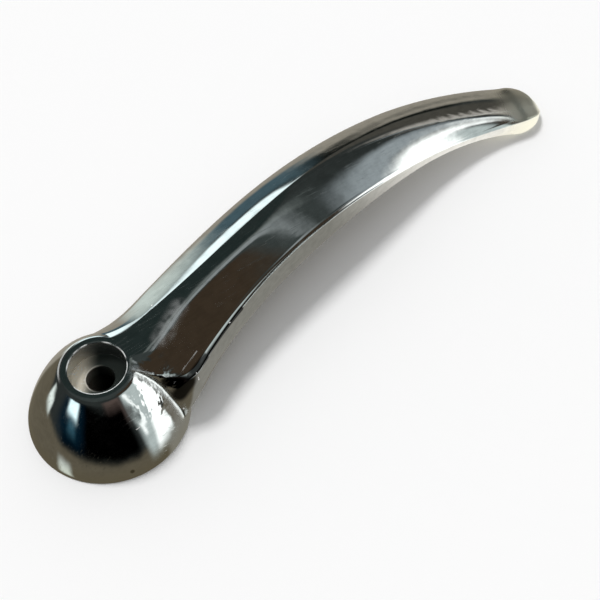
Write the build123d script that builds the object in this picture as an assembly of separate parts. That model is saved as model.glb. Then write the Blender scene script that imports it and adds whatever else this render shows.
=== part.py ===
"""Car interior door handle: one chromed casting, a domed hub that carries a long curved lever.

The hub stands on its base face at z = 0, with the screw bore along Z through the origin.
The lever runs out along +X, bows towards +Y and droops until its nose meets the plane of the base.
Lengths are in millimetres and angles in degrees.
"""
from build123d import *

import os
from math import cos, radians, sin, tan

# Hub: a crowned cone with a flat land round the screw head
hub_radius = 16.0
hub_height = 16.0
foot_height = 0.4
land_radius = 7.05
dome_crown = 0.95
rim_rounding = 0.7

# Screw head seat, screw bore and the square spindle socket below them
head_bore_radius = 5.45
head_bore_depth = 4.1
screw_bore_radius = 2.7
screw_web = 3.0
socket_width = 7.0
socket_lead_in = 0.5
bore_edge_break = 0.15

# Plan of the lever: two arcs that meet at the crest of the bow
bow_crest_x = 82.0
bow_crest_y = 12.7
bow_root_radius = 200.0
bow_nose_radius = 112.0

# The lever is shaped at five stations, evenly spaced along its plan arcs from hub to nose
crest_station = 84.0
nose_station = 120.4
left_edge = (13.4, 9.95, 9.6, 8.5, 8.1)
right_edge = (13.2, 9.5, 9.6, 8.1, 5.7)
back_height = (2.0, 5.7, 7.5, 6.2, 0.0)

# Three lines run along its upper side: the ridge, the break where the flat top ends, and the shoulder
ridge_line = (7.9, 1.5, 1.4, 1.1, 0.8)
ridge_height = (16.35, 16.4, 15.9, 12.2, 4.9)
break_line = (-4.6, -1.4, -2.4, -3.5, -4.2)
flat_slope = (1.0, 4.0, 9.0, 8.0, 4.0)
shoulder_height = (11.0, 12.4, 13.3, 8.7, 4.6)

# Left flank: how high its widest line stands over the back, and how steeply it leaves the ridge
flank_lip = (3.4, 2.6, 2.2, 2.0, 1.6)
flank_slope = (30.0, 26.0, 24.0, 20.0, 16.0)

# Where the lever grows out of the hub, its right side draws in and slants under the dome
tuck_length = 14.0
shoulder_tuck = 14.0
break_tuck = 3.5
foot_tuck = 4.0

# Its left side flares out to meet the dome
flare_length = 20.0
root_flare = 5.5

# Rounded nose
nose_length = 7.9
nose_lift = 0.5

# Where the sections of the lever's loft stand: close together at the root, evenly along the rest,
# and round the nose by the angle that each has turned through
root_stations = (3, 5, 7, 9, 12, 16, 22)
first_even_station = 30.0
even_spacing = 12.0
nose_turns = (0, 20, 38, 54, 67, 77, 84)

# Edge roundings, from root to nose, and along the back
ridge_rounding = (0.5, 0.5, 0.6, 2.0, 2.5)
break_rounding = (0.8, 1.5, 2.4, 2.4, 1.0)
shoulder_rounding = (2.2, 0.7, 0.6, 0.6, 0.8)
back_rounding = 1.0


def along_lever(values, station):
    """The value at a station: the one smooth curve that passes through all five values."""
    step = nose_station / (len(values) - 1)
    total = 0.0
    for i, value in enumerate(values):
        share = 1.0
        for j in range(len(values)):
            if j != i:
                share *= (station / step - j) / (i - j)
        total += value * share
    return total


def section_plane(station):
    """Plane across the lever: local x points to the lever's left and local y points up."""
    run = station - crest_station
    radius = bow_nose_radius if run > 0 else bow_root_radius
    turn = run / radius
    x = bow_crest_x + radius * sin(turn)
    y = bow_crest_y - radius * (1 - cos(turn))
    return Plane(origin=(x, y, 0), x_dir=(sin(turn), cos(turn), 0), z_dir=(cos(turn), -sin(turn), 0))


def heading(angle):
    """Unit vector at an angle above the lever's left-hand side."""
    return Vector(cos(radians(angle)), sin(radians(angle)))


def lever_section(station, nose_turn=0.0):
    """Closed section of the lever; nose_turn draws it in round the end of the nose."""
    s = min(station, nose_station)
    tuck = max(1 - station / tuck_length, 0) ** 2
    flare = max(1 - station / flare_length, 0) ** 2
    left = along_lever(left_edge, s) + root_flare * flare
    right = -along_lever(right_edge, s)
    back = along_lever(back_height, s)
    break_u = along_lever(break_line, s) + break_tuck * tuck
    ridge = Vector(along_lever(ridge_line, s), along_lever(ridge_height, s))
    turn = Vector(break_u, ridge.Y - (ridge.X - break_u) * tan(radians(along_lever(flat_slope, s))))
    shoulder = Vector(right + shoulder_tuck * tuck, along_lever(shoulder_height, s))
    right_foot = Vector(right + foot_tuck * tuck, back)
    left_foot = Vector(left, back)
    lip = Vector(left, back + along_lever(flank_lip, s))

    down_flank = heading(-along_lever(flank_slope, s))
    to_turn = (turn - ridge).normalized()
    to_shoulder = (shoulder - turn).normalized()
    to_foot = (right_foot - shoulder).normalized()
    up, across = Vector(0, 1), Vector(1, 0)
    ridge_r = along_lever(ridge_rounding, s)
    break_r = along_lever(break_rounding, s)
    shoulder_r = along_lever(shoulder_rounding, s)

    ridge_left = ridge + down_flank * ridge_r
    ridge_right = ridge + to_turn * ridge_r
    turn_in = turn - to_turn * break_r
    turn_out = turn + to_shoulder * break_r
    shoulder_top = shoulder - to_shoulder * shoulder_r
    shoulder_side = shoulder + to_foot * shoulder_r
    foot_up = right_foot - to_foot * back_rounding
    foot_in = right_foot + across * back_rounding
    left_in = left_foot - across * back_rounding
    lip_pull = lip + up * (ridge.Y - lip.Y) * 0.5
    flank_pull = ridge_left + down_flank * (left - ridge.X) * 0.5
    outline = [
        (ridge_left, ridge, ridge_right),
        (ridge_right, turn_in),
        (turn_in, turn, turn_out),
        (turn_out, shoulder_top),
        (shoulder_top, shoulder, shoulder_side),
        (shoulder_side, foot_up),
        (foot_up, right_foot, foot_in),
        (foot_in, left_in),
        (left_in, left_foot, lip),
        (lip, lip_pull, flank_pull, ridge_left),
    ]

    shrink = cos(radians(nose_turn))
    middle = Vector((left + right) / 2, back + nose_lift * (1 - shrink))
    plane = section_plane(station)
    edges = []
    for points in outline:
        placed = [plane.from_local_coords(middle + (p - Vector(middle.X, back)) * shrink) for p in points]
        edges.append(Line(*placed) if len(placed) == 2 else Bezier(*placed))
    return Wire(edges)


def make_lever():
    """The lever: one loft from inside the hub to the end of the nose."""
    sections = [lever_section(s) for s in root_stations]
    station = first_even_station
    while station < nose_station - even_spacing / 2:
        sections.append(lever_section(station))
        station += even_spacing
    for turn in nose_turns:
        sections.append(lever_section(nose_station + nose_length * sin(radians(turn)), turn))
    return Solid.make_loft(sections)


def make_hub():
    """The hub before it is bored: a revolved profile with a crowned side and a rounded rim."""
    rise = hub_height - foot_height
    run = hub_radius - land_radius
    slant = (rise * rise + run * run) ** 0.5
    bulge = Vector(rise, run) * (dome_crown / slant)
    crown_point = Vector(hub_radius - run / 2, foot_height + rise / 2) + bulge
    side = ThreePointArc((hub_radius, foot_height), crown_point, (land_radius, hub_height))
    rest = Polyline(side @ 1, (0, hub_height), (0, 0), (hub_radius, 0), side @ 0)
    profile = make_face(rest + side)
    rim = profile.vertices().filter_by_position(Axis.Y, hub_height, hub_height).sort_by(Axis.X)[-1]
    return revolve(Plane.XZ * fillet(rim, rim_rounding), Axis.Z)


def make_bores():
    """What the screw and the spindle take out of the hub: the stepped bore and the square socket."""
    seat_floor = hub_height - head_bore_depth
    socket_top = seat_floor - screw_web
    mouth = socket_width + 2 * socket_lead_in
    steps = Polyline(
        (0, 0),
        (screw_bore_radius, 0),
        (screw_bore_radius, seat_floor),
        (head_bore_radius, seat_floor),
        (head_bore_radius, hub_height - bore_edge_break),
        (head_bore_radius + bore_edge_break, hub_height),
        (0, hub_height),
        close=True,
    )
    stepped_bore = revolve(Plane.XZ * make_face(steps), Axis.Z)
    socket = Box(socket_width, socket_width, socket_top, align=(Align.CENTER, Align.CENTER, Align.MIN))
    wide = Rectangle(mouth, mouth).face()
    narrow = Pos(0, 0, socket_lead_in) * Rectangle(socket_width, socket_width).face()
    return stepped_bore + socket + loft([wide, narrow])


def face_off(lever):
    """The lever without what stands over the land or under the base."""
    reach = 4 * nose_station
    middle = (Align.CENTER, Align.CENTER, Align.MIN)
    return lever & Box(reach, reach, hub_height, align=middle)


handle = make_hub() + face_off(make_lever()) - make_bores()
os.makedirs("parts", exist_ok=True)
export_step(handle, "parts/handle.step")
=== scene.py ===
"""Chromed car door handle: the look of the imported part, with its floor, light and camera."""
from functools import partial
from math import atan2, cos, degrees, pi, radians, sin, tan

import bmesh
import bpy
from mathutils import Matrix, Vector


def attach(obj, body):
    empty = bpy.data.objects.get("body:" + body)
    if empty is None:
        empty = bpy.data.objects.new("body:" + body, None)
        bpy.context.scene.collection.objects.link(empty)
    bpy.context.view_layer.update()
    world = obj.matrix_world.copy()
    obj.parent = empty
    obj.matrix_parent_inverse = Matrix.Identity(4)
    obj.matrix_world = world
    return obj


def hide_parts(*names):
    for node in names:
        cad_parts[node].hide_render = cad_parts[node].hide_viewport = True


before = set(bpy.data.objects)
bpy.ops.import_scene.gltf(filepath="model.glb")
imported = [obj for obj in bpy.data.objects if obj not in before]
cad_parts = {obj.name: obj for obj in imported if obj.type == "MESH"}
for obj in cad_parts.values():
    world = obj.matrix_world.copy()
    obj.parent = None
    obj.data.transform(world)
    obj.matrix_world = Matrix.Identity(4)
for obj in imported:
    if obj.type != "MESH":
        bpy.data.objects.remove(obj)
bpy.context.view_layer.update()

# Lengths are in millimetres until the piece is finished
MM = 0.001

# Hub, as in the part
HUB_RADIUS = 16.0
HUB_HEIGHT = 16.0
LAND_RADIUS = 7.05
DOME_CROWN = 0.95
FOOT_HEIGHT = 0.4
SEAT_RADIUS = 5.45
SEAT_DEPTH = 4.1
BORE_RADIUS = 2.7
WEB = 3.0
SOCKET = 7.0
SOCKET_LEAD_IN = 0.5

# Plan of the lever: two arcs that meet at the crest of the bow
CREST_X = 82.0
CREST_Y = 12.7
ROOT_ARC = 200.0
NOSE_ARC = 112.0
CREST_STATION = 84.0
NOSE_STATION = 120.4
NOSE_LENGTH = 7.9

# Shape of the lever at five stations, evenly spaced from hub to nose
LEFT_EDGE = (13.4, 9.95, 9.6, 8.5, 8.1)
RIGHT_EDGE = (13.2, 9.5, 9.6, 8.1, 5.7)
RIDGE_LINE = (7.9, 1.5, 1.4, 1.1, 0.8)
RIDGE_HEIGHT = (16.35, 16.4, 15.9, 12.2, 4.9)
BREAK_LINE = (-4.6, -1.4, -2.4, -3.5, -4.2)
BREAK_ROUNDING = (0.8, 1.5, 2.4, 2.4, 1.0)
FLAT_SLOPE = (1.0, 4.0, 9.0, 8.0, 4.0)
SHOULDER_HEIGHT = (11.0, 12.4, 13.3, 8.7, 4.6)
SHOULDER_ROUNDING = (1.6, 0.7, 0.6, 0.6, 0.8)
RIDGE_ROUNDING = (0.5, 0.5, 0.6, 2.0, 2.5)
BACK_HEIGHT = (2.0, 5.7, 7.5, 6.2, 0.0)
FLANK_LIP = (3.4, 2.6, 2.2, 2.0, 1.6)
FLANK_SLOPE = (30.0, 26.0, 24.0, 20.0, 16.0)
BACK_ROUNDING = 1.0

# At the root its right side draws in under the dome, and its left side flares out to meet it
TUCK_LENGTH = 14.0
SHOULDER_TUCK = 14.0
BREAK_TUCK = 3.5
FOOT_TUCK = 4.0
FLARE_LENGTH = 20.0
ROOT_FLARE = 5.5

# The cage that is smoothed into the skin. The hub has spokes and rows, and the lever grows from a window
# in its side, whose width is counted in spokes and whose height in rows
SPOKES = 40
WINDOW_WIDTH = 10
WINDOW_HEIGHT = 8
FIRST_WINDOW_ROW = 6

# Degrees from the middle of the window to its side, and within how many degrees two spokes are the same
HALF_WINDOW = WINDOW_WIDTH / 2 * 360 / SPOKES
SAME_SPOKE = 0.5

# Degrees that the spokes beside the window turn away from it, row by row from its foot
LEFT_LEAN = (8, 10, 13, 18, 21, 21, 15, -4, -6)
RIGHT_LEAN = (6, 5, 3, 1, -1, -2, -1, 0, 0)

# Spaces between the lever's lines over the flat top and the face, and up the left flank, where they
# crowd a little towards the ridge
FACE_LINES = 14
FLANK_LINES = 5
FLANK_CROWD = 1.3

# Stations where the lever has left the hub's shape behind, evenly round its section from the ridge
NECK_ENDS = (9.5, 9.5, 9.5, 9.5, 10.0, 14.0, 20.0, 24.0, 20.0, 10.0)

# Spaces from the window to the lever's first whole loop, and the power by which they widen on the way
ROOT_SPACES = 11
ROOT_SPREAD = 1.5

# Stations of the whole loops, and the degrees that those round the nose have turned in by
WHOLE_LOOPS = (28, 33, 39, 46, 53, 60, 67, 74, 81, 88, 94, 100, 106, 111.5, 116.5)
NOSE_TURNS = (0, 14, 28, 42, 55, 66)

# How often the cage is fitted to the drawn points, and how often it is then smoothed
FIT_ROUNDS = 4
SMOOTHING = 2


def along(values, station):
    """The value at a station: one smooth curve through the values at the five stations."""
    step = NOSE_STATION / (len(values) - 1)
    total = 0.0
    for i, value in enumerate(values):
        share = 1.0
        for j in range(len(values)):
            if j != i:
                share *= (station / step - j) / (i - j)
        total += value * share
    return total


def bezier(points, t):
    """The point at t on the curve that these points pull."""
    points = [Vector(p) for p in points]
    while len(points) > 1:
        points = [a.lerp(b, t) for a, b in zip(points, points[1:])]
    return points[0]


def heading(angle):
    """Unit vector at an angle above the lever's left-hand side."""
    return Vector((cos(radians(angle)), sin(radians(angle))))


def along_path(points, share):
    """The point at a share of the length of a chain of points."""
    lengths = [(b - a).length for a, b in zip(points, points[1:])]
    left = share * sum(lengths)
    for a, b, length in zip(points, points[1:], lengths):
        if left <= length:
            return a.lerp(b, left / length)
        left -= length
    return points[-1]


def crowd_ends(share):
    """An even share of a length, moved so that the points stand closer together at both ends."""
    return share - 0.5 * sin(2 * pi * share) / (2 * pi)


def lever_outline(station):
    """Points round the lever's section as (left, up), from the ridge over the face, and its middle."""
    s = min(station, NOSE_STATION)
    tuck = max(1 - station / TUCK_LENGTH, 0) ** 2
    flare = max(1 - station / FLARE_LENGTH, 0) ** 2
    left = along(LEFT_EDGE, s) + ROOT_FLARE * flare
    right = -along(RIGHT_EDGE, s)
    back = along(BACK_HEIGHT, s)
    break_u = along(BREAK_LINE, s) + BREAK_TUCK * tuck
    ridge = Vector((along(RIDGE_LINE, s), along(RIDGE_HEIGHT, s)))
    turn = Vector((break_u, ridge.y - (ridge.x - break_u) * tan(radians(along(FLAT_SLOPE, s)))))
    shoulder = Vector((right + SHOULDER_TUCK * tuck, along(SHOULDER_HEIGHT, s)))
    right_foot = Vector((right + FOOT_TUCK * tuck, back))
    left_foot = Vector((left, back))
    lip = Vector((left, back + along(FLANK_LIP, s)))

    down_flank = heading(-along(FLANK_SLOPE, s))
    ridge_r = along(RIDGE_ROUNDING, s)
    shoulder_r = along(SHOULDER_ROUNDING, s)
    break_r = along(BREAK_ROUNDING, s)
    to_turn = (turn - ridge).normalized()
    to_shoulder = (shoulder - turn).normalized()
    to_foot = (right_foot - shoulder).normalized()
    ridge_left = ridge + down_flank * ridge_r
    ridge_right = ridge + to_turn * ridge_r
    shoulder_top = shoulder - to_shoulder * shoulder_r
    shoulder_side = shoulder + to_foot * shoulder_r
    flank_pull = (left - ridge.x) * 0.5
    lip_pull = (ridge.y - lip.y) * 0.5

    turn_pull = (turn - to_turn * break_r, turn, turn + to_shoulder * break_r)
    soft_turn = [bezier(turn_pull, i / 6) for i in range(7)]
    face = [ridge_right, *soft_turn, shoulder_top]
    points = [along_path(face, crowd_ends(i / FACE_LINES)) for i in range(FACE_LINES + 1)]
    foot_in = right_foot + Vector((BACK_ROUNDING, 0))
    foot_up = right_foot - to_foot * BACK_ROUNDING
    left_in = left_foot - Vector((BACK_ROUNDING, 0))
    points += [bezier((shoulder_top, shoulder, shoulder_side), 0.5), shoulder_side, foot_up]
    points += [bezier((foot_up, right_foot, foot_in), 0.5)]
    points += [foot_in.lerp(left_in, i / (WINDOW_WIDTH - 2)) for i in range(WINDOW_WIDTH - 1)]
    points += [bezier((left_in, left_foot, lip), 0.4), lip]
    flank = (lip, lip + Vector((0, lip_pull)), ridge_left + down_flank * flank_pull, ridge_left)
    points += [bezier(flank, 1 - (1 - i / FLANK_LINES) ** FLANK_CROWD) for i in range(1, FLANK_LINES + 1)]
    points += [bezier((ridge_left, ridge, ridge_right), 0.5)]
    middle = Vector(((left + right) / 2, back))
    return points, middle


def place(station, point):
    """A section's point in the frame of the part."""
    run = station - CREST_STATION
    radius = NOSE_ARC if run > 0 else ROOT_ARC
    turn = run / radius
    x = CREST_X + radius * sin(turn) + sin(turn) * point.x
    y = CREST_Y - radius * (1 - cos(turn)) + cos(turn) * point.x
    return Vector((x, y, min(max(point.y, 0.0), HUB_HEIGHT)))


def station_of(point):
    """The station whose plane passes through a point near the root."""
    centre = Vector((CREST_X, CREST_Y - ROOT_ARC))
    return CREST_STATION + ROOT_ARC * atan2(point.x - centre.x, point.y - centre.y)


def side_radius(height):
    """Radius of the hub's crowned side at a height."""
    foot = Vector((HUB_RADIUS, FOOT_HEIGHT))
    rim = Vector((LAND_RADIUS, HUB_HEIGHT))
    chord = (rim - foot).length
    arc = chord * chord / (8 * DOME_CROWN) + DOME_CROWN / 2
    inward = Vector((-(rim.y - foot.y), rim.x - foot.x)).normalized()
    centre = (foot + rim) / 2 + inward * (arc - DOME_CROWN)
    return centre.x + (arc * arc - (height - centre.y) ** 2) ** 0.5


def hub_rows():
    """The hub's profile as (radius, height): the socket's mouth, the outside, then down the bores."""
    seat_floor = HUB_HEIGHT - SEAT_DEPTH
    web_floor = seat_floor - WEB
    rows = [(SOCKET / 2 + SOCKET_LEAD_IN, 0), (HUB_RADIUS - 7.5, 0), (HUB_RADIUS - 2.0, 0)]
    rows += [(HUB_RADIUS - 0.2, 0), (HUB_RADIUS, 0.15)]
    rows += [(side_radius(z), z) for z in (0.8, 2.0, 3.6, 5.8, 8.2, 10.6, 13.0, 15.0)]
    rows += [(LAND_RADIUS, HUB_HEIGHT), (SEAT_RADIUS + 0.85, HUB_HEIGHT), (SEAT_RADIUS + 0.35, HUB_HEIGHT)]
    rows += [(SEAT_RADIUS + 0.05, HUB_HEIGHT - 0.05), (SEAT_RADIUS, HUB_HEIGHT - 0.4)]
    rows += [(SEAT_RADIUS, HUB_HEIGHT - 2.0), (SEAT_RADIUS, seat_floor + 0.3)]
    rows += [(SEAT_RADIUS - 0.05, seat_floor + 0.02), (SEAT_RADIUS - 0.35, seat_floor)]
    rows += [(BORE_RADIUS + 0.5, seat_floor), (BORE_RADIUS + 0.1, seat_floor - 0.03)]
    rows += [(BORE_RADIUS, seat_floor - 0.35), (BORE_RADIUS, web_floor + 0.3)]
    rows += [(BORE_RADIUS + 0.05, web_floor), (BORE_RADIUS + 0.3, web_floor)]
    rows += [(SOCKET / 2, web_floor), (SOCKET / 2, web_floor - 0.5), (SOCKET / 2, SOCKET_LEAD_IN + 0.1)]
    return rows


# Rows of that profile that are square: the mouth and the walls of the socket
SQUARE_ROWS = (0, 28, 29, 30)


def azimuth(vert):
    """Degrees round the hub from +X."""
    return degrees(atan2(vert.co.y, vert.co.x))


def make_hub(bm):
    """Spins the hub's profile and opens the window that the lever grows from."""
    row = bm.verts.layers.int.new("row")
    line = bm.verts.layers.int.new("line")
    verts = []
    for i, (radius, height) in enumerate(hub_rows()):
        vert = bm.verts.new((radius, 0, height))
        vert[row] = i
        verts.append(vert)
    edges = [bm.edges.new(pair) for pair in zip(verts, verts[1:] + verts[:1])]
    turned = {"axis": (0, 0, 1), "cent": (0, 0, 0), "angle": 2 * pi, "steps": SPOKES, "use_merge": True}
    bmesh.ops.spin(bm, geom=verts + edges, **turned)
    for vert in bm.verts:
        if vert[row] in SQUARE_ROWS:
            half = max(abs(vert.co.x), abs(vert.co.y))
            vert.co.xy *= hub_rows()[vert[row]][0] / half

    rows = range(FIRST_WINDOW_ROW, FIRST_WINDOW_ROW + WINDOW_HEIGHT + 1)
    inside = {v for v in bm.verts if v[row] in rows and abs(azimuth(v)) < HALF_WINDOW + SAME_SPOKE}
    cut = [f for f in bm.faces if inside.issuperset(f.verts)]
    bmesh.ops.delete(bm, geom=cut, context="FACES")
    step = 360 / SPOKES
    for vert in {v for e in bm.edges if e.is_boundary for v in e.verts}:
        up = vert[row] - FIRST_WINDOW_ROW
        across = round(azimuth(vert) / step) + WINDOW_WIDTH // 2
        if up == WINDOW_HEIGHT:
            index = WINDOW_WIDTH - across
        elif up == 0:
            index = WINDOW_WIDTH + WINDOW_HEIGHT + across
        elif across == 0:
            index = WINDOW_WIDTH + WINDOW_HEIGHT - up
        else:
            index = 2 * WINDOW_WIDTH + WINDOW_HEIGHT + up
        vert[line] = index % (2 * (WINDOW_WIDTH + WINDOW_HEIGHT)) + 1
    lean_spokes(bm, row)
    return line


def lean_spokes(bm, row):
    """Turns the spokes beside the window, so that its sides stand where the lever meets the dome."""
    for vert in bm.verts:
        angle = azimuth(vert)
        up = vert[row] - FIRST_WINDOW_ROW
        if 180 - abs(angle) < SAME_SPOKE or abs(angle) < HALF_WINDOW - SAME_SPOKE or up > WINDOW_HEIGHT:
            continue
        leans = LEFT_LEAN if angle > 0 else RIGHT_LEAN
        reach = cos(radians((abs(angle) - HALF_WINDOW) * 90 / (180 - HALF_WINDOW)))
        lean = leans[max(up, 0)] * reach
        vert.co.rotate(Matrix.Rotation(radians(lean if angle > 0 else -lean), 3, "Z"))


def fit_cage(bm, rounds):
    """Moves the cage's corners until the smoothed surface passes through the drawn points."""
    drawn = {v: v.co.copy() for v in bm.verts}
    for _ in range(rounds):
        moves = []
        for vert in bm.verts:
            n = len(vert.link_edges)
            near = sum((e.other_vert(vert).co for e in vert.link_edges), Vector())
            opposite = [loop.link_loop_next.link_loop_next.vert for loop in vert.link_loops]
            far = sum((v.co for v in opposite), Vector())
            smoothed = (vert.co * n * n + near * 4 + far) / (n * (n + 5))
            moves.append((vert, drawn[vert] - smoothed))
        for vert, move in moves:
            vert.co += move
            vert.co.z = min(max(vert.co.z, 0), HUB_HEIGHT)


def neck_end(index):
    """The station where a line of the lever has left the hub's shape behind."""
    along_loop = index / (2 * (WINDOW_WIDTH + WINDOW_HEIGHT)) * (len(NECK_ENDS) - 1)
    low = int(along_loop)
    return NECK_ENDS[low] + (NECK_ENDS[low + 1] - NECK_ENDS[low]) * (along_loop - low)


def place_root(starts, index, share):
    """A point of the lever between its start on the hub and the first whole loop."""
    start = starts[index]
    root = station_of(start)
    station = root + (WHOLE_LOOPS[0] - root) * share ** ROOT_SPREAD
    hold = max((neck_end(index) - station) / (neck_end(index) - root), 0) ** 2
    own = place(station, lever_outline(station)[0][index])
    return own + (start - place(root, lever_outline(root)[0][index])) * hold


def place_whole(index, station, turn=0):
    """A point of the lever's section at a station, drawn in round the nose by a turn."""
    points, middle = lever_outline(station)
    return place(station, middle + (points[index] - middle) * cos(radians(turn)))


def make_lever(bm, line):
    """Draws the lever out of the hub's window, loop by loop, and closes the nose."""
    loop = [e for e in bm.edges if e.is_boundary]
    starts = {v[line] - 1: v.co.copy() for e in loop for v in e.verts}
    steps = [partial(place_root, starts, share=k / ROOT_SPACES) for k in range(1, ROOT_SPACES)]
    steps += [partial(place_whole, station=s) for s in WHOLE_LOOPS]
    for turn in NOSE_TURNS:
        station = NOSE_STATION + NOSE_LENGTH * sin(radians(turn))
        steps.append(partial(place_whole, station=station, turn=turn))
    for step in steps:
        made = bmesh.ops.extrude_edge_only(bm, edges=loop)["geom"]
        loop = [e for e in made if isinstance(e, bmesh.types.BMEdge) and e.is_boundary]
        for vert in [g for g in made if isinstance(g, bmesh.types.BMVert)]:
            vert.co = step(vert[line] - 1)
    ends = [e for e in loop if is_face_or_back(e, line)]
    bmesh.ops.grid_fill(bm, edges=ends)


def is_face_or_back(edge, line):
    """True for the edges of a loop that run along its face or its back, not up its sides."""
    a, b = sorted(v[line] - 1 for v in edge.verts)
    if b - a > 1:
        return False
    return b <= WINDOW_WIDTH or WINDOW_WIDTH + WINDOW_HEIGHT <= a and b <= 2 * WINDOW_WIDTH + WINDOW_HEIGHT


def make_body():
    """The whole handle as one skin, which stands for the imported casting."""
    bm = bmesh.new()
    line = make_hub(bm)
    make_lever(bm, line)
    fit_cage(bm, FIT_ROUNDS)
    bmesh.ops.recalc_face_normals(bm, faces=bm.faces)
    for vert in bm.verts:
        vert.co *= MM
    for face in bm.faces:
        face.smooth = True
    mesh = bpy.data.meshes.new("handle_body")
    bm.to_mesh(mesh)
    bm.free()
    body = bpy.data.objects.new("handle_body", mesh)
    bpy.context.scene.collection.objects.link(body)
    smooth = body.modifiers.new("smooth", "SUBSURF")
    smooth.levels = SMOOTHING
    smooth.render_levels = SMOOTHING
    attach(body, "root")
    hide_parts("handle")
    return body


# The camera stands where the photograph's did, and turns from looking along +Y by so many degrees
LENS = 60
SENSOR_WIDTH = 36
CAMERA_PLACE = (-28.9, -96.1, 175.1)
CAMERA_PITCH = 55.8
CAMERA_TURN = -38.6


def make_camera():
    data = bpy.data.cameras.new("camera")
    data.lens = LENS
    data.sensor_width = SENSOR_WIDTH
    camera = bpy.data.objects.new("camera", data)
    bpy.context.scene.collection.objects.link(camera)
    camera.location = Vector(CAMERA_PLACE) * MM
    pitch = radians(CAMERA_PITCH)
    forward = Matrix.Rotation(radians(CAMERA_TURN), 3, "Z") @ Vector((0, cos(pitch), -sin(pitch)))
    camera.rotation_mode = "QUATERNION"
    camera.rotation_quaternion = forward.to_track_quat("-Z", "Y")
    bpy.context.scene.camera = camera


class Value:
    """A socket that carries a number or a colour. Arithmetic on it adds the nodes that work it out."""

    def __init__(self, tree, socket):
        self.tree = tree
        self.socket = socket

    def node(self, kind, settings, inputs, output=0):
        """Adds any other node: its settings first, then the values or links of its sockets."""
        made = self.tree.nodes.new(kind)
        for name, value in settings.items():
            setattr(made, name, value)
        for key, value in inputs.items():
            if isinstance(value, Value):
                self.tree.links.new(value.socket, made.inputs[key])
            else:
                made.inputs[key].default_value = value
        return Value(self.tree, made.outputs[output]) if made.outputs else None

    def math(self, operation, *values):
        return self.node("ShaderNodeMath", {"operation": operation}, dict(enumerate(values)))

    def __add__(self, other):
        return self.math("ADD", self, other)

    def __sub__(self, other):
        return self.math("SUBTRACT", self, other)

    def __rsub__(self, other):
        return self.math("SUBTRACT", other, self)

    def __mul__(self, other):
        return self.math("MULTIPLY", self, other)

    __radd__ = __add__
    __rmul__ = __mul__

    def between(self, low, high):
        """0 up to low, 1 from high on, and a smooth rise between them."""
        inputs = {"Value": self, "From Min": low, "From Max": high}
        return self.node("ShaderNodeMapRange", {"interpolation_type": "SMOOTHSTEP"}, inputs)

    def band(self, rise, fall):
        """1 from the end of the rise to the start of the fall, and 0 outside both."""
        return self.between(*rise) * (1 - self.between(*fall))

    def noise(self, scale, detail=2.0):
        """Noise on this vector."""
        return self.node("ShaderNodeTexNoise", {}, {"Vector": self, "Scale": scale, "Detail": detail})

    def vector(self, operation, inputs, output=0):
        return self.node("ShaderNodeVectorMath", {"operation": operation}, {0: self, **inputs}, output)

    def stretched(self, by):
        """This vector with each part multiplied by its own factor."""
        return self.vector("MULTIPLY", {1: by})

    def scaled(self, factor):
        return self.vector("SCALE", {"Scale": factor})

    def dot(self, other):
        return self.vector("DOT_PRODUCT", {1: other}, "Value")

    def distance(self, point):
        """Distance of this place from a point."""
        return self.vector("DISTANCE", {1: point}, "Value")

    def near(self, point, core, reach):
        """1 within the core round a point, and 0 beyond its reach."""
        return 1 - self.distance(point).between(core, reach)

    def line_distance(self, start, end):
        """Distance of this place from a straight line between two points."""
        start, end = Vector(start), Vector(end)
        run = end - start
        share = self.vector("SUBTRACT", {1: start}).dot(run / run.length_squared)
        share = self.math("MAXIMUM", self.math("MINIMUM", share, 1.0), 0.0)
        foot = self.node("ShaderNodeCombineXYZ", {}, {i: share * run[i] + start[i] for i in range(3)})
        return self.distance(foot)

    def near_lines(self, lines, core, reach):
        """1 along lines, each given by its ends and half its width, of which core and reach are shares."""
        mask = 0
        for start, end, width in lines:
            line = 1 - self.line_distance(start, end).between(width * core, width * reach)
            mask = self.math("MAXIMUM", mask, line)
        return mask

    def split(self):
        return [self.node("ShaderNodeSeparateXYZ", {}, {0: self}, output=i) for i in range(3)]

    def blend(self, under, over):
        """The colour over laid on the colour under, as far as this mask says."""
        return self.node("ShaderNodeMix", {"data_type": "RGBA"}, {0: self, 6: under, 7: over}, output=2)


def rgb(red, green, blue):
    return (red, green, blue, 1.0)


def start_tree(owner):
    """Empties the shader tree of a material or a world, and gives a value that nodes can start from."""
    owner.use_nodes = True
    owner.node_tree.nodes.clear()
    return Value(owner.node_tree, None)


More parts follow.
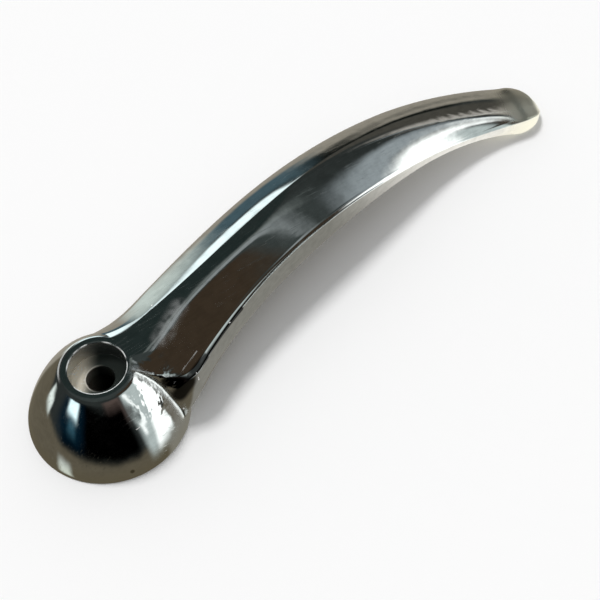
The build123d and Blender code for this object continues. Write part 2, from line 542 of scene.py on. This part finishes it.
# What the chrome mirrors: a dim room, as patches laid over each other in this order. Azimuth 0 is to the
# camera's right and 90 straight away from it. Each patch has the azimuth and the elevation of its middle,
# half its width, half its height, how far its azimuth falls for each degree that it rises, how soft its
# edge is, all in degrees, and its colour
ROOM_SHADE = rgb(0.034, 0.041, 0.040)
ROOM_PATCHES = (
    ("ceiling", 100, 76, 180, 20, 0.0, 6, rgb(0.055, 0.068, 0.067)),
    ("brown wall", -8, 52, 32, 15, 0.0, 6, rgb(0.056, 0.040, 0.026)),
    ("dark ceiling", 112, 56, 30, 7, 0.0, 4, rgb(0.022, 0.034, 0.033)),
    ("beam", 74, 62, 24, 4, 0.0, 3, rgb(0.200, 0.230, 0.225)),
    ("end of the beam", 54, 65, 18, 4, 0.0, 3, rgb(0.340, 0.380, 0.390)),
    ("far wall", 72, 20, 26, 12, 0.0, 5, rgb(0.085, 0.082, 0.070)),
    ("far corner", 57, 28, 6, 10, -0.6, 5, rgb(0.560, 0.540, 0.500)),
    ("bench", 180, -52, 180, 36, 0.0, 3, rgb(0.155, 0.137, 0.098)),
    ("far bench", 98, -42, 36, 43, 0.0, 3, rgb(0.370, 0.345, 0.290)),
    ("right-hand bench", 14, -52, 32, 30, 0.0, 6, rgb(0.310, 0.305, 0.275)),
    ("brown side", -62, 20, 18, 12, 0.0, 7, rgb(0.120, 0.090, 0.080)),
    ("dark side", -98, 1, 50, 17, 0.0, 5, rgb(0.000, 0.000, 0.000)),
    ("navy side", -140, 2, 20, 14, 0.0, 8, rgb(0.002, 0.014, 0.028)),
    ("pale window", -18, 5, 22, 27, 0.0, 5, rgb(0.660, 0.760, 0.760)),
    ("window haze", 38, 45, 12, 7, 0.0, 6, rgb(0.400, 0.460, 0.490)),
    ("white window", 5, 9, 16, 30, -0.6, 4, rgb(1.900, 2.000, 2.000)),
    ("narrow window", -34, 8, 2.5, 16, 0.0, 2, rgb(1.500, 1.600, 1.600)),
    ("dark sill", 90, 5, 13, 3, 0.0, 2, rgb(0.008, 0.010, 0.008)),
    ("left-hand frame", 112, 1, 9, 8, 0.0, 4, rgb(0.080, 0.140, 0.170)),
    ("left-hand window", 124, -8, 5, 22, 0.0, 4, rgb(0.800, 0.920, 0.880)),
    ("left-hand pane", 111, 28, 8, 14, 0.0, 4, rgb(1.400, 1.650, 1.700)),
    ("small window", -139, 9, 10, 6, 0.0, 3, rgb(1.400, 1.800, 1.900)),
    ("blue glow", -136, -2, 6, 5, 0.0, 4, rgb(0.040, 0.120, 0.170)),
    ("lamp strip", 176, -14, 7, 4, 0.0, 3, rgb(1.200, 1.350, 1.300)),
    ("bench gleam", -142, -31, 7, 5, 0.0, 4, rgb(0.900, 1.000, 0.950)),
)

# What lights the floor: a plain fill that is stronger on the key's side, and the key itself
FILL_LEVEL = 0.54
FILL_LEAN = 0.6
KEY_LEVEL = 0.46
KEY_AZIMUTH = 136.0
KEY_ELEVATION = 62.0
KEY_WIDTH = 16.0
KEY_TURN = radians(KEY_AZIMUTH + CAMERA_TURN)

# The backdrop and the floor
PALE = rgb(0.97, 0.97, 0.97)


def mirrored_room(start, direction):
    """The colour of the dim room in a direction."""
    wobble = direction.noise(3.0) - 0.5
    x, y, z = direction.split()
    azimuth = start.math("ARCTAN2", y, x) * degrees(1) - CAMERA_TURN
    elevation = start.math("ARCSINE", z) * degrees(1)
    room = ROOM_SHADE
    for _, middle, level, width, height, lean, soft, colour in ROOM_PATCHES:
        rise = elevation - level + wobble * soft
        turn = start.math("WRAP", azimuth - middle + rise * lean + wobble * soft, 180.0, -180.0)
        across = 1 - start.math("ABSOLUTE", turn).between(width - soft, width + soft)
        upright = 1 - start.math("ABSOLUTE", rise).between(height - soft, height + soft)
        room = (across * upright).blend(room, colour)
    return room


def make_world():
    """A plain fill for the floor, a pale backdrop for the camera and the dim room for the metal."""
    world = bpy.data.worlds.new("studio")
    bpy.context.scene.world = world
    start = start_tree(world)
    direction = start.node("ShaderNodeTexCoord", {}, {}, output="Generated")
    level = (direction.dot((cos(KEY_TURN), sin(KEY_TURN), 0)) * FILL_LEAN + 1) * FILL_LEVEL
    fill = start.node("ShaderNodeCombineColor", {}, {i: level for i in range(3)})
    for_metal = start.node("ShaderNodeLightPath", {}, {}, output="Is Glossy Ray")
    for_camera = start.node("ShaderNodeLightPath", {}, {}, output="Is Camera Ray")
    colour = for_camera.blend(for_metal.blend(fill, mirrored_room(start, direction)), PALE)
    background = start.node("ShaderNodeBackground", {}, {"Color": colour})
    start.node("ShaderNodeOutputWorld", {}, {"Surface": background})


def make_key():
    """The one lamp: broad and soft, from beyond the handle on the left. The metal doesn't mirror it."""
    lamp = bpy.data.lights.new("key", "SUN")
    lamp.angle = radians(KEY_WIDTH)
    rise = radians(KEY_ELEVATION)
    lamp.energy = KEY_LEVEL * pi / sin(rise)
    key = bpy.data.objects.new("key", lamp)
    towards = Vector((cos(KEY_TURN) * cos(rise), sin(KEY_TURN) * cos(rise), sin(rise)))
    key.rotation_mode = "QUATERNION"
    key.rotation_quaternion = towards.to_track_quat("Z", "Y")
    key.visible_glossy = False
    bpy.context.scene.collection.objects.link(key)


def matte(name, colour):
    material = bpy.data.materials.new(name)
    material.use_nodes = True
    shader = material.node_tree.nodes["Principled BSDF"]
    shader.inputs["Base Color"].default_value = colour
    shader.inputs["Roughness"].default_value = 1.0
    shader.inputs["Specular IOR Level"].default_value = 0.0
    return material


def put_on_stage(name, bm, material, unseen_by=()):
    """Makes a stage piece of what the bmesh holds. The kinds of ray that are named don't see it."""
    mesh = bpy.data.meshes.new(name)
    bm.to_mesh(mesh)
    bm.free()
    mesh.materials.append(material)
    piece = bpy.data.objects.new(name, mesh)
    bpy.context.scene.collection.objects.link(piece)
    for ray in unseen_by:
        setattr(piece, "visible_" + ray, False)


FLOOR_REACH = 2000.0

# Dark disc on the floor under the hub, a hair above it: painted shade in the mouth of the socket
SHADE_RADIUS = 12.0
SHADE_LIFT = 0.02

# Pale card on the floor beside the nose: its edges, and where along it the glow fades in
CARD_X = (55.0, 165.0)
CARD_Y = (-45.0, 9.0)
CARD_LIFT = 0.05
CARD_FADE = (62.0, 105.0)
CARD_GLOW = 1.3


def make_floor():
    bm = bmesh.new()
    bmesh.ops.create_grid(bm, x_segments=1, y_segments=1, size=FLOOR_REACH * MM)
    put_on_stage("floor", bm, matte("pale_floor", PALE), unseen_by=("glossy",))


def make_shade():
    """Painted shade: a dark disc in the mouth of the spindle socket, so that the screw hole looks as deep as
    it is.
    """
    bm = bmesh.new()
    bmesh.ops.create_circle(bm, cap_ends=True, segments=32, radius=SHADE_RADIUS * MM)
    bmesh.ops.translate(bm, verts=bm.verts, vec=(0, 0, SHADE_LIFT * MM))
    put_on_stage("shade_in_socket", bm, matte("painted_socket_shade", rgb(0.004, 0.004, 0.004)))


def make_card():
    """A pale card beside the nose. Only the metal sees it."""
    bm = bmesh.new()
    corners = [(CARD_X[i], CARD_Y[j], CARD_LIFT) for i, j in ((0, 0), (1, 0), (1, 1), (0, 1))]
    bm.faces.new([bm.verts.new(Vector(corner) * MM) for corner in corners])
    material = bpy.data.materials.new("pale_card")
    start = start_tree(material)
    x = start.node("ShaderNodeTexCoord", {}, {}, output="Object").scaled(1 / MM).split()[0]
    glow = start.node("ShaderNodeEmission", {}, {"Color": rgb(1.0, 0.98, 0.92), "Strength": CARD_GLOW})
    clear = start.node("ShaderNodeBsdfTransparent", {}, {})
    mix = start.node("ShaderNodeMixShader", {}, {0: x.between(*CARD_FADE), 1: clear, 2: glow})
    start.node("ShaderNodeOutputMaterial", {}, {"Surface": mix})
    put_on_stage("pale_card", bm, material, unseen_by=("camera", "diffuse", "shadow"))


# Marks in the plating as lines, each with its two ends and half its width: white nicks, the pale hairline
# along the root of the face, a black painted reflection along the root of the shoulder and in the wedge
# below it, a pale haze of painted highlight beside the break, and the valley between the dome and the face
NICKS = (
    ((15.04, -9.60, 10.7), (15.15, -9.93, 8.4), 0.15),
    ((-0.17, -11.88, 9.46), (0.75, -11.84, 9.5), 0.09),
    ((15.72, 5.40, 15.65), (15.58, 5.28, 15.75), 0.13),
    ((10.20, -11.13, 4.4), (10.34, -11.13, 4.2), 0.14),
    ((26.20, -4.98, 11.84), (26.44, -4.98, 11.84), 0.10),
)
HAIRLINES = (
    ((10.4, -8.9, 10.9), (13.3, -8.07, 12.15), 0.12),
    ((13.3, -8.07, 12.15), (17.4, -6.63, 12.37), 0.12),
)
# Painted dark reflection along the root of the shoulder and in the wedge beside the dome
PAINTED_DARK_REFLECTIONS = (
    ((13.6, -9.6, 11.0), (18.5, -8.2, 11.4), 0.9),
    ((18.5, -8.2, 11.4), (30.0, -4.0, 11.9), 0.6),
    ((12.8, -10.0, 9.6), (10.8, -10.1, 8.2), 2.2),
    ((12.4, -9.7, 10.6), (9.4, -8.3, 11.6), 1.5),
)
# Painted highlight beside the break
PAINTED_HIGHLIGHT_HAZE = (((12.5, -2.0, 15.9), (19.6, 1.8, 16.0), 2.4),)
VALLEY = (
    ((4.9, -4.9, 15.8), (8.6, -8.4, 9.4), 2.0),
    ((8.6, -8.4, 9.4), (9.9, -11.6, 3.0), 2.0),
)

# Places: the stain at the dome's foot, the blotched saddle beside the valley, the smooth root of the face,
# the ripples before the nose, and the nose
STAIN = (-4.27, -14.9, 1.87)
SADDLE = (6.5, -8.5, 12.0)
CLEAN_ROOT = (17.0, -4.0, 14.0)
RIPPLES = (104.0, 9.5, 8.4)
NOSE = (123.0, 3.0, 3.0)

# The edge of the screw seat, by the radii between which it fades, and rings of painted highlight round the
# screw axis, each by the radii between which it begins and those between which it ends
SEAT_EDGE = (5.35, 5.5)
SEAT_RIM = ((5.40, 5.48), (5.58, 5.68))
HOLE_RIM = ((2.66, 2.74), (2.9, 3.1))
LAND_EDGE = ((6.85, 7.0), (7.2, 7.4))

# The sides toward which the seat's painted light and the land edge's painted highlight lie
SEAT_PAINTED_LIGHT_SIDE = Vector((-0.777, 0.629, 0))
LAND_HIGHLIGHT_SIDE = Vector((-0.42, 0.906, 0))


def across_lever(place, x):
    """How far left a place lies of the plan line of the lever."""
    plan = place.stretched((1, 1, 0))
    root = plan.distance((CREST_X, CREST_Y - ROOT_ARC, 0)) - ROOT_ARC
    nose = plan.distance((CREST_X, CREST_Y - NOSE_ARC, 0)) - NOSE_ARC
    beyond = x.between(CREST_X - 0.1, CREST_X + 0.1)
    return root * (1 - beyond) + nose * beyond


def seat_layers(place, radius, z):
    """Layers of the dull screw seat, with painted light and shade across it, painted sparkles and painted
    rim highlights.
    """
    in_seat = 1 - radius.between(*SEAT_EDGE)
    side = place.dot(SEAT_PAINTED_LIGHT_SIDE)
    # Painted light and shade: the seat's colour runs from dark to pale across it, and it loses metal on the
    # pale side
    glow = side.between(0.5, 4.4)
    # Painted glints on the seat's lit side
    painted_sparkle = place.noise(2.2).between(0.58, 0.66) * side.between(2.0, 4.0) * in_seat
    # Painted highlight on the rim of the screw hole, on the seat's lit side
    hole_rim_highlight = radius.band(*HOLE_RIM) * in_seat * z.between(11.5, 11.8) * side.between(-0.5, 2.0)
    # Painted highlight: a bright, broken ring along the seat's rim
    rim = radius.band(*SEAT_RIM) * z.between(15.4, 15.8) * place.noise(0.35, 1.0).between(0.42, 0.55)
    # Painted highlight: a bright ring at the edge of the land, on its lit side
    land_edge_highlight = radius.band(*LAND_EDGE) * z.between(15.2, 15.5) * place.dot(LAND_HIGHLIGHT_SIDE).between(4.0, 6.2)
    colour = glow.blend(rgb(0.09, 0.105, 0.095), rgb(1.0, 0.92, 0.76))
    colour = (hole_rim_highlight * 0.8).blend(colour, rgb(0.95, 0.90, 0.80))
    colour = painted_sparkle.blend(colour, rgb(1.0, 1.0, 0.95))
    return [
        (in_seat, 1.0, colour, 0.15 + glow * 0.75, 0.24),
        (rim, 1.0, rgb(0.85, 0.87, 0.86), 0.8, 0.3),
        (land_edge_highlight, 0.7, rgb(0.85, 0.88, 0.87), 0.5, 0.0),
    ]


def mark_layers(start, place):
    """Layers of the marks in the plating, with a painted highlight beside the break and a painted dark
    reflection along the shoulder.
    """
    # Painted highlight: a pale, patchy haze that widens the reflection along the break
    haze = place.near_lines(PAINTED_HIGHLIGHT_HAZE, 0.0, 1.0) * place.noise(0.7, 0.5).between(0.1, 0.6)
    hairline = place.near_lines(HAIRLINES, 0.5, 1.5) * 0.3
    nick = start.math("MAXIMUM", place.near_lines(NICKS, 0.6, 1.3), hairline)
    return [
        (place.near(STAIN, 0.25, 0.6), 0.8, rgb(0.15, 0.13, 0.08), 0.0, 0.0),
        (haze, 0.4, rgb(0.52, 0.56, 0.57), 0.25, 0.08),
        # Painted dark reflection: black along the root of the shoulder and in the wedge beside the dome
        (place.near_lines(PAINTED_DARK_REFLECTIONS, 0.5, 1.2), 0.97, rgb(0.02, 0.02, 0.02), 0.0, 0.0),
        (nick, 1.0, rgb(0.9, 0.9, 0.88), 1.0, 0.3),
    ]


def relief(start, place, x, y):
    """Height of the plating in millimetres: waves, the saddle's blotches, ripples, the crowned flank."""
    left = across_lever(place, x)
    waves = place.noise(0.09) * 0.06 + place.noise(0.30) * 0.012
    blotches = place.noise(0.40) * place.near(SADDLE, 2.5, 6.8) * 0.42
    near_ripples = place.near(RIPPLES, 7.0, 12.0) * left.band((-2.4, -1.2), (-0.3, 1.0))
    phase = (x * 0.95 + y * 0.3 + place.noise(0.6) * 1.5) * 2.6
    ripples = start.math("SINE", phase) * near_ripples * 0.012
    outward = start.math("MAXIMUM", left - 1.5, 0)
    crowned = outward * outward * x.between(45, 70) * -0.010
    return waves + blotches + ripples + crowned


def make_chrome():
    """Bright plating, a little wavy, smudged and scratched; duller in the screw seat and at the nose."""
    material = bpy.data.materials.new("chrome")
    start = start_tree(material)
    place = start.node("ShaderNodeTexCoord", {}, {}, output="Object").scaled(1 / MM)
    x, y, z = place.split()
    radius = start.math("SQRT", x * x + y * y)

    mottle = place.noise(0.5, 5.0).between(0.35, 0.7)
    streaks = place.stretched((0.25, 2.0, 1.5)).noise(1.0, 4.0).between(0.4, 0.75)
    smudge = place.noise(0.22, 4.0).between(0.45, 0.75)
    grain = place.stretched((0.12, 3.0, 1.2)).noise(1.0, 3.0)
    scratch = grain.between(0.60, 0.66) * place.noise(0.15).between(0.45, 0.6)
    low = 1 - z.between(0.5, 4.5)

    colour = (mottle * 0.35 + streaks * 0.25).blend(rgb(0.66, 0.66, 0.645), rgb(0.47, 0.47, 0.46))
    metal = 1.0
    rough = 0.06 + (smudge * 0.06 + scratch * 0.10) * place.distance(CLEAN_ROOT).between(4.0, 9.0)
    rough = rough + place.near_lines(VALLEY, 0.2, 1.1) * 0.22

    # Each layer has its mask, how strongly it covers, its colour, how much metal it hides and how dull it is
    layers = [
        # Painted reflection: a warmer, slightly darker tint towards the foot, like the bench that the foot
        # mirrors
        (low, 0.8, rgb(0.60, 0.58, 0.51), 0.0, 0.0),
        (place.near(NOSE, 4.0, 15.0), 1.0, rgb(0.80, 0.79, 0.69), 0.0, 0.36),
        *seat_layers(place, radius, z),
        *mark_layers(start, place),
    ]
    for mask, strength, paint, bare, dull in layers:
        colour = (mask * strength).blend(colour, paint)
        metal = metal * (1 - mask * bare)
        rough = rough + mask * dull

    height = relief(start, place, x, y) + scratch * 0.002
    bump = start.node("ShaderNodeBump", {}, {"Height": height, "Distance": MM})
    inputs = {"Base Color": colour, "Metallic": metal, "Roughness": rough, "Normal": bump}
    surface = start.node("ShaderNodeBsdfPrincipled", {}, inputs)
    start.node("ShaderNodeOutputMaterial", {}, {"Surface": surface})
    return material


body = make_body()
body.data.materials.append(make_chrome())
make_camera()
make_world()
make_key()
make_floor()
make_shade()
make_card()

bpy.context.scene.view_settings.view_transform = "Standard"
